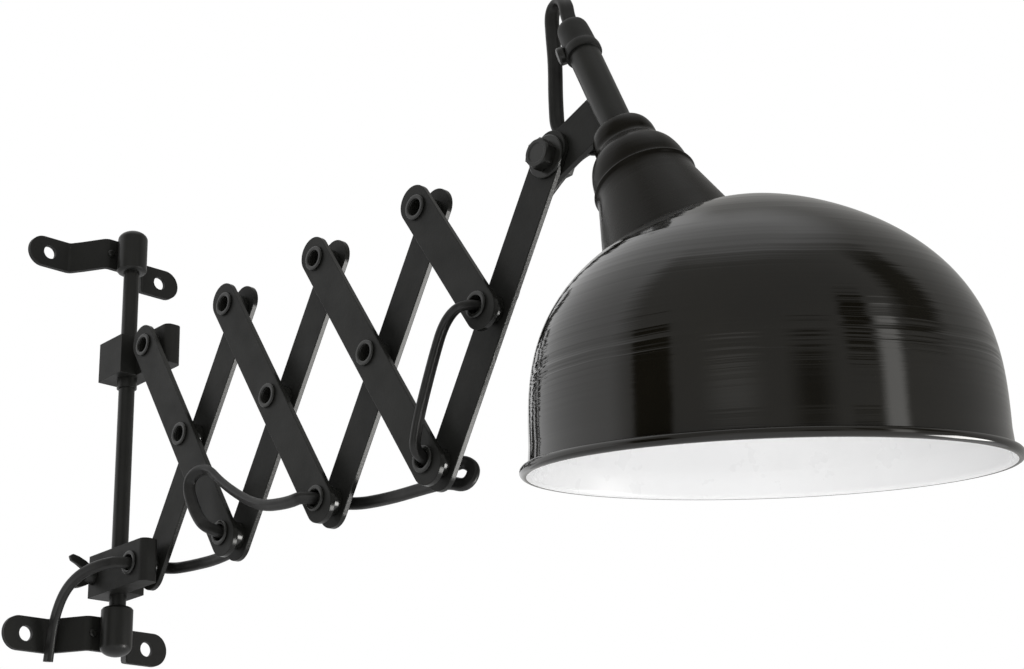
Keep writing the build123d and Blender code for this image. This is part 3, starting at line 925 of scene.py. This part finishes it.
    def bolt(self) -> None:
        """Make the hinge bolt: a broad washer, a hexagonal head with a dished face, and the shank."""
        low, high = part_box("hinge_bolt")
        centre = (low + high) / 2
        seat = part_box("back_bar_4")[0].x
        start = Vector((seat, centre.y, centre.z))
        washer = [(0.0, 0.0), (10.8, 0.0), (11.3, 0.4), (11.3, 1.2), (10.8, 1.6), (0.0, 1.6)]
        shape = lathe(millimetres(washer), start, Vector((-1.0, 0.0, 0.0)), 56)
        rows = ((6.6, 1.5), (self.hexagon, 2.2), (self.hexagon, 7.2), (7.3, 7.8), (5.6, 7.8), (5.0, 7.3))
        made = []
        for radius, out in rows:
            made.append([])
            for k in range(36):
                spread = math.radians(10.0 * k)
                angle = math.radians(10.0 * k + self.hexagon_turn)
                corner = math.cos(math.pi / 6) / math.cos((spread + math.pi / 6) % (math.pi / 3) - math.pi / 6)
                reach = radius * (corner if radius == self.hexagon else 0.97)
                spoke = Vector((0.0, 1.0, 0.0)) * math.cos(angle) + Vector((0.0, 0.0, 1.0)) * math.sin(angle)
                place = Vector((seat - out * MM, centre.y, centre.z)) + spoke * reach * MM
                made[-1].append(shape.verts.new(place))
        for low_ring, high_ring in zip(made, made[1:]):
            for k in range(36):
                n = (k + 1) % 36
                shape.faces.new((low_ring[k], low_ring[n], high_ring[n], high_ring[k]))
        shape.faces.new(made[-1])
        shape.faces.new(list(reversed(made[0])))
        length = (high.x - seat) / MM
        shank = [(0.0, 0.0), (5.2, 0.0), (5.2, length - 0.6), (4.6, length), (0.0, length)]
        turned = lathe(millimetres(shank), start, Vector((1.0, 0.0, 0.0)), 40)
        spare = bpy.data.meshes.new("shank")
        turned.to_mesh(spare)
        turned.free()
        shape.from_mesh(spare)
        bpy.data.meshes.remove(spare)
        bmesh.ops.recalc_face_normals(shape, faces=shape.faces)
        piece = new_piece("hinge_bolt_forged", shape, [self.finishes.fastener], 25.0)
        stand_in(piece, "hinge_bolt", frame["nodes"]["hinge_bolt"]["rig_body"])

    def grip(self) -> None:
        """Turn the cord grip: a rounded cone over a collar, bored for the cord."""
        bottom, top = 36.0, 58.0
        outside = [(9.2, bottom), (9.4, 36.8), (9.4, 39.4), (9.0, 41.2), (8.6, 42.4), (8.4, 48.0), (8.1, 54.0)]
        outside += [(7.6, 56.4), (6.6, 57.8), (5.4, top)]
        section = [(self.grip_bore, bottom * MM), *millimetres([(8.1, bottom), *rounded(outside, 4)])]
        section.append((self.grip_bore, top * MM))
        shape = lathe(section, self.foot, self.stem_up, 64)
        piece = new_piece("grip_turned", shape, [self.finishes.plastic], 40.0)
        stand_in(piece, "cord_grip", "head")

    def dress(self) -> None:
        """Make and paint the head."""
        self.shade()
        self.neck()
        self.grip()
        self.bolt()
        self.thumb_screw()
        paint("stem_pipe", self.finishes.rod)
        paint("hinge_link", self.finishes.bar)
        paint("lamp_holder", self.finishes.plastic)
        paint("hinge_nut", self.finishes.fastener)
        LOG.info("head: dome, neck, grip, stem and hinge")


@dataclass
class CordRun:
    """One free run of the flat cord between two rivets."""

    node: str
    points: list[Point]
    bodies: tuple[str, ...]
    roll: Roll
    far_end: str = "object"
    lay: str = "loose"
    settle: Roll | None = None
    settle_from: float = 0.08
    settle_over: float = 0.14
    half_width: float = 3.4 * MM
    half_thick: float = 2.2 * MM
    flatness: float = 1.6
    groove: float = 0.2
    groove_reach: float = 0.9 * MM
    sides: int = 24
    line_steps: int = 14
    repeats_per_metre: float = 10.0

    def line(self) -> list[Vector]:
        """Read the smooth centre line from a spline through the route.

        Returns:
            Points of the line in the row frame.
        """
        curve = bpy.data.curves.new(self.node + "_line", "CURVE")
        curve.dimensions = "3D"
        curve.resolution_u = self.line_steps
        spline = curve.splines.new("NURBS")
        spline.points.add(len(self.points) - 1)
        for point, place in zip(spline.points, self.points):
            point.co = (place[0] * MM, place[1] * MM, place[2] * MM, 1.0)
        spline.order_u = 3
        spline.use_endpoint_u = True
        holder = into_scene(self.node + "_line", curve)
        line = [vertex.co.copy() for vertex in evaluated_mesh(holder).vertices]
        bpy.data.objects.remove(holder)
        return line

    def section(self) -> Profile:
        """Outline of the two joined cores: a flat oval with a shallow groove on each side.

        Returns:
            Points across and through the cord.
        """
        outline = []
        flat = self.half_width - self.half_thick
        for i in range(self.sides):
            turn = math.tau * i / self.sides
            level = math.copysign(min(abs(math.cos(turn)) * self.flatness, 1.0), math.cos(turn))
            across = flat * level + self.half_thick * math.cos(turn)
            dip = self.groove * math.exp(-((across / self.groove_reach) ** 2))
            outline.append((across, self.half_thick * math.sin(turn) * (1.0 - dip)))
        return outline

    def build(self, material: bpy.types.Material) -> None:
        """Args:
            material: the sheath.
        """
        line = self.line()
        shape = bmesh.new()
        along = shape.loops.layers.uv.new("along")
        outline = self.section()
        wide = Vector(self.roll.value)
        rings, reach, travelled = [], [], 0.0
        for i, point in enumerate(line):
            ahead = line[min(i + 1, len(line) - 1)] - line[max(i - 1, 0)]
            tangent = ahead.normalized()
            if i:
                travelled += (point - line[i - 1]).length
            if self.settle is not None:
                share = (i / (len(line) - 1) - self.settle_from) / self.settle_over
                wide = Vector(self.roll.value).lerp(Vector(self.settle.value), min(max(share, 0.0), 1.0))
            wide = (wide - tangent * wide.dot(tangent)).normalized()
            thick = tangent.cross(wide)
            rings.append([shape.verts.new(point + wide * a + thick * t) for a, t in outline])
            reach.append(travelled)
        for i in range(len(rings) - 1):
            for s in range(self.sides):
                n = (s + 1) % self.sides
                face = shape.faces.new((rings[i][s], rings[i][n], rings[i + 1][n], rings[i + 1][s]))
                corners = ((reach[i], s), (reach[i], s + 1), (reach[i + 1], s + 1), (reach[i + 1], s))
                for loop, (u, v) in zip(face.loops, corners):
                    loop[along].uv = (u * self.repeats_per_metre, v / self.sides)
        shape.faces.new(rings[0])
        shape.faces.new(list(reversed(rings[-1])))
        bmesh.ops.recalc_face_normals(shape, faces=shape.faces)
        piece = new_piece(self.node + "_flat", shape, [material], 50.0)
        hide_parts(self.node)
        if len(self.bodies) == 1:
            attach(piece, self.bodies[0])
        else:
            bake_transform(piece)
        LOG.info("%s: %.0f mm", self.node, reach[-1] * 1000)


@dataclass
class Cord:
    """The whole supply cord, threaded from the wall through the lower rivets to the grip."""

    finishes: FinishBook
    foot: Vector
    stem_up: Vector

    def runs(self) -> list[CordRun]:
        """Lay out the six free runs.

        Returns:
            The runs, wall side first.
        """
        l0, l1, l2, l3 = (centre_of(f"low_pivot_{k}") / MM for k in range(4))
        m4 = centre_of("mid_pivot_4") / MM
        grip = (self.foot + self.stem_up * 42.0 * MM) / MM
        over = (self.foot + self.stem_up * 62.0 * MM) / MM

        def at(x: float, pivot: Vector) -> Point:
            """Point on a rivet's axis."""
            return (x, pivot.y, pivot.z)

        supply = [at(-1.0, l0), at(-17.0, l0), (-23.5, -52.0, -88.5), (-28.0, -37.0, -91.5)]
        supply += [(-30.0, -24.0, -99.0), (-30.0, -15.0, -111.0), (-29.0, -9.5, -124.0), (-29.0, -7.5, -138.0)]
        first = [at(-0.5, l0), at(15.5, l0), (15.0, -84.0, -91.0), (15.0, -118.0, -93.0)]
        first += [at(15.5, l1), at(0.5, l1)]
        second = [at(0.0, l1), at(-15.5, l1), (-17.5, -137.0, -77.0), (-18.5, -128.5, -56.0)]
        second += [(-17.5, -146.0, -51.0), (-16.5, -163.0, -67.0), (-15.5, -192.0, -85.0)]
        second += [(-15.5, -218.0, -89.0), at(-15.5, l2), at(0.0, l2)]
        third = [at(0.5, l2), at(15.5, l2), (15.0, -262.0, -92.0), (15.0, -293.5, -93.0), (15.0, -308.5, -94.0)]
        third += [(17.0, -319.5, -98.5), (20.5, -323.0, -90.0), (17.5, -318.0, -85.0)]
        third += [at(11.5, l3), at(0.5, l3)]
        fourth = [at(0.0, l3), at(-14.0, l3), (-15.0, -319.5, -73.0), (-15.5, -333.0, -44.0)]
        fourth += [(-15.5, -343.0, -25.0), at(-15.0, m4), at(0.0, m4)]
        last = [at(0.5, m4), at(15.5, m4), (14.5, -366.5, 8.0), (17.5, -380.0, 34.0), (22.5, -394.0, 50.0)]
        last += [(24.5, -406.0, 56.0), (25.5, -419.0, 49.0), (26.5, -434.0, 54.0), (25.5, -430.0, 69.0)]
        last += [(20.5, -414.0, 70.0), (15.5, -397.5, 63.0), (14.5, -398.5, 84.0), (14.5, -400.0, 104.0)]
        last += [(13.5, -400.5, 119.0), (13.5, -400.5, 134.0), (12.5, -408.0, 137.5), (9.5, -414.5, 131.5)]
        last += [tuple(over), tuple(grip)]
        runs = [CordRun("cord_supply", supply, ("wall_frame", "lower_carriage"), Roll.UPRIGHT, "bare", "hanging")]
        for k, (letter, points) in enumerate(zip("abc", (first, second, third)), start=1):
            runs.append(CordRun("cord_run_" + letter, points, (f"back_arm_{k}", f"front_arm_{k}"), Roll.UPRIGHT))
        runs.append(CordRun("cord_run_d", fourth, ("back_arm_4",), Roll.UPRIGHT))
        behind = CordRun("cord_run_e", last, ("back_arm_4", "head"), Roll.ALONG, settle=Roll.ROOMWARD)
        behind.half_width = 3.8 * MM
        return [*runs, behind]

    def dress(self) -> None:
        """Sweep every run."""
        for run in self.runs():
            run.build(self.finishes.cord)


# ------------------------------------------------------------------ studio
@dataclass
class Softbox:
    """One rectangular studio light, too broad and far off to draw a shape in the gloss."""

    name: str
    place: Point
    aim: Point
    width: float
    height: float
    power: float

    def build(self) -> None:
        """Add the light."""
        data = bpy.data.lights.new(self.name, "AREA")
        data.shape = "RECTANGLE"
        data.size = self.width
        data.size_y = self.height
        data.energy = self.power
        lamp = into_scene(self.name, data)
        lamp.location = self.place
        lamp.rotation_euler = (Vector(self.aim) - Vector(self.place)).to_track_quat("-Z", "Y").to_euler()
        lamp.visible_glossy = False


@dataclass
class Card:
    """One curved studio card round the dome that only shows in reflections; angles are seen from the dome."""

    name: str
    azimuths: tuple[float, float]
    elevations: tuple[float, float]
    radius: float
    level: float
    feather: tuple[float, float]
    aim: Point = (0.02, -0.5, -0.07)
    rows: int = 8
    steps: int = 16

    def fade(self, shader: Shader, across: bpy.types.NodeSocket, feather: float) -> bpy.types.NodeSocket:
        """Soften two opposite edges of the card.

        Args:
            shader: the card's material.
            across: coordinate from 0 to 1 across the card.
            feather: share of the card that fades at each edge.

        Returns:
            1 in the middle and 0 at both edges.
        """
        fold = shader.combined("PINGPONG", across, 0.5)
        soft = shader.node("MapRange", interpolation_type="SMOOTHSTEP", Value=fold, From_Max=feather)
        return soft.outputs["Result"]

    def build(self) -> None:
        """Add the card to the scene."""
        shape = bmesh.new()
        card_map = shape.loops.layers.uv.new("card")
        grid = []
        low, high = (math.radians(angle) for angle in self.elevations)
        left, right = (math.radians(angle) for angle in self.azimuths)
        for j in range(self.rows + 1):
            up = low + (high - low) * j / self.rows
            grid.append([])
            for i in range(self.steps + 1):
                turn = left + (right - left) * i / self.steps
                spoke = Vector((math.sin(turn) * math.cos(up), -math.cos(turn) * math.cos(up), math.sin(up)))
                grid[-1].append(shape.verts.new(Vector(self.aim) + spoke * self.radius))
        for j in range(self.rows):
            for i in range(self.steps):
                face = shape.faces.new((grid[j][i], grid[j][i + 1], grid[j + 1][i + 1], grid[j + 1][i]))
                corners = ((i, j), (i + 1, j), (i + 1, j + 1), (i, j + 1))
                for loop, (u, v) in zip(face.loops, corners):
                    loop[card_map].uv = (u / self.steps, v / self.rows)
        shader = Shader(self.name)
        surface = shader.surface
        surface.inputs["Base Color"].default_value = (0.0, 0.0, 0.0, 1.0)
        surface.inputs["Specular IOR Level"].default_value = 0.0
        surface.inputs["Emission Color"].default_value = (1.0, 0.99, 0.96, 1.0)
        surface.inputs["Emission Strength"].default_value = self.level
        parts = shader.node("SeparateXYZ", shader.node("UVMap", uv_map="card").outputs["UV"])
        fades = (self.fade(shader, parts.outputs[axis], self.feather[k]) for k, axis in enumerate("XY"))
        shader.link(shader.combined("MULTIPLY", *fades), "Alpha")
        card = new_piece(self.name, shape, [shader.material])
        for ray in ("camera", "diffuse", "shadow", "transmission", "volume_scatter"):
            setattr(card, "visible_" + ray, False)


@dataclass
class Studio:
    """Camera at the photograph's place, white surroundings, pale floor and softboxes."""

    place: Point = (-0.575217, -0.939242, -0.348917)
    azimuth: float = -42.815
    elevation: float = -24.699
    roll: float = -1.929
    focal: float = 1789.07
    centre: tuple[float, float] = (431.0, 222.8)
    image: tuple[int, int] = (1024, 669)
    sensor: float = 36.0
    ambient: float = 0.72
    floor: float = -0.75

    def camera(self) -> None:
        """Set up the camera."""
        a, e, r = (math.radians(v) for v in (self.azimuth, self.elevation, self.roll))
        look = Vector((-math.sin(a) * math.cos(e), math.cos(a) * math.cos(e), -math.sin(e)))
        right = Vector((math.cos(a), math.sin(a), 0.0))
        up = right.cross(look)
        side = right * math.cos(r) + up * math.sin(r)
        above = up * math.cos(r) - right * math.sin(r)
        data = bpy.data.cameras.new("camera")
        data.sensor_width = self.sensor
        data.lens = self.focal * self.sensor / self.image[0]
        data.shift_x = (self.image[0] / 2 - self.centre[0]) / self.image[0]
        data.shift_y = (self.centre[1] - self.image[1] / 2) / self.image[0]
        data.clip_start = 0.01
        camera = into_scene("camera", data)
        turn = Matrix((side, above, -look)).transposed().to_4x4()
        camera.matrix_world = Matrix.Translation(Vector(self.place)) @ turn
        bpy.context.scene.camera = camera

    def surroundings(self) -> None:
        """White behind the lamp and in reflections, and a soft even fill on matt surfaces."""
        world = bpy.data.worlds.new("studio")
        bpy.context.scene.world = world
        world.use_nodes = True
        tree = world.node_tree
        rays = add_node(tree, "ShaderNodeLightPath").outputs
        seen = rays["Is Camera Ray"]
        for ray in ("Is Glossy Ray", "Is Transmission Ray"):
            seen = add_node(tree, "ShaderNodeMath", seen, rays[ray], operation="MAXIMUM").outputs[0]
        level = add_node(tree, "ShaderNodeMapRange", Value=seen, To_Min=self.ambient, To_Max=1.0)
        back = tree.nodes["Background"]
        back.inputs["Color"].default_value = (1.0, 1.0, 1.0, 1.0)
        tree.links.new(level.outputs["Result"], back.inputs["Strength"])

    def ground(self) -> None:
        """Lay the pale floor."""
        shape = bmesh.new()
        bmesh.ops.create_grid(shape, x_segments=1, y_segments=1, size=4.0)
        bmesh.ops.translate(shape, verts=shape.verts, vec=Vector((0.0, -0.3, self.floor)))
        shader = Shader("pale_floor")
        shader.tint(shader.grain(3.0, 3.0), (0.84, 0.84, 0.84), (0.88, 0.88, 0.88))
        shader.surface.inputs["Roughness"].default_value = 0.9
        new_piece("floor", shape, [shader.material])

    def build(self) -> None:
        """Set up the whole studio."""
        bpy.context.scene.view_settings.view_transform = "Standard"
        self.camera()
        self.surroundings()
        self.ground()
        Softbox("key", (-1.4, -1.6, 1.3), (0.0, -0.3, -0.1), 1.0, 1.0, 18.0).build()
        Softbox("low_fill", (-0.4, -1.0, -0.72), (0.02, -0.5, -0.1), 1.0, 0.8, 6.0).build()
        Softbox("right", (1.5, -1.0, 0.4), (0.0, -0.4, -0.1), 0.5, 1.2, 9.0).build()
        Card("room_card", (-128.0, 150.0), (-30.0, 78.0), 2.6, 0.42, (0.07, 0.18)).build()
        Card("dark_card_left", (-114.0, -91.0), (-30.0, 29.0), 2.4, 0.02, (0.16, 0.12)).build()
        Card("pale_card", (-82.0, -48.0), (-30.0, 12.0), 2.4, 0.75, (0.45, 0.3)).build()
        Card("dark_card_middle", (-44.0, -16.0), (-30.0, 18.0), 2.4, 0.1, (0.45, 0.35)).build()
        Card("dark_card_right", (-15.0, 3.0), (4.0, 38.0), 2.4, 0.02, (0.25, 0.3)).build()
        Card("strip_card", (0.0, 16.0), (-30.0, 33.0), 2.3, 2.0, (0.35, 0.3)).build()
        Card("dark_card_top", (13.0, 50.0), (10.0, 66.0), 2.4, 0.06, (0.35, 0.3)).build()
        Card("edge_card", (32.0, 66.0), (-44.0, -14.0), 0.95, 16.0, (0.15, 0.2)).build()
        LOG.info("studio ready")


def main() -> None:
    """Build the lamp and its studio."""
    logging.basicConfig(level=logging.INFO, format="%(name)s %(message)s")
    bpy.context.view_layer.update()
    lean = math.radians(STEM_LEAN)
    stem_up = Vector((0.0, math.sin(lean), math.cos(lean)))
    hinge = centre_of("hinge_nut")
    away = Vector((0.0, -math.cos(lean), math.sin(lean))) * HINGE_TO_STEM
    foot = Vector((STEM_SIDE, hinge.y + away.y, hinge.z + away.z))
    finishes = finish_book(RIM_CENTRE, DOME_UP, foot, stem_up)
    Studio().build()
    Cord(finishes, foot, stem_up).dress()
    Linkage(finishes).dress()
    WallFrame(finishes).dress()
    Head(finishes, RIM_CENTRE, DOME_UP, foot, stem_up).dress()
    bpy.context.view_layer.update()


if __name__ == "__main__":
    main()
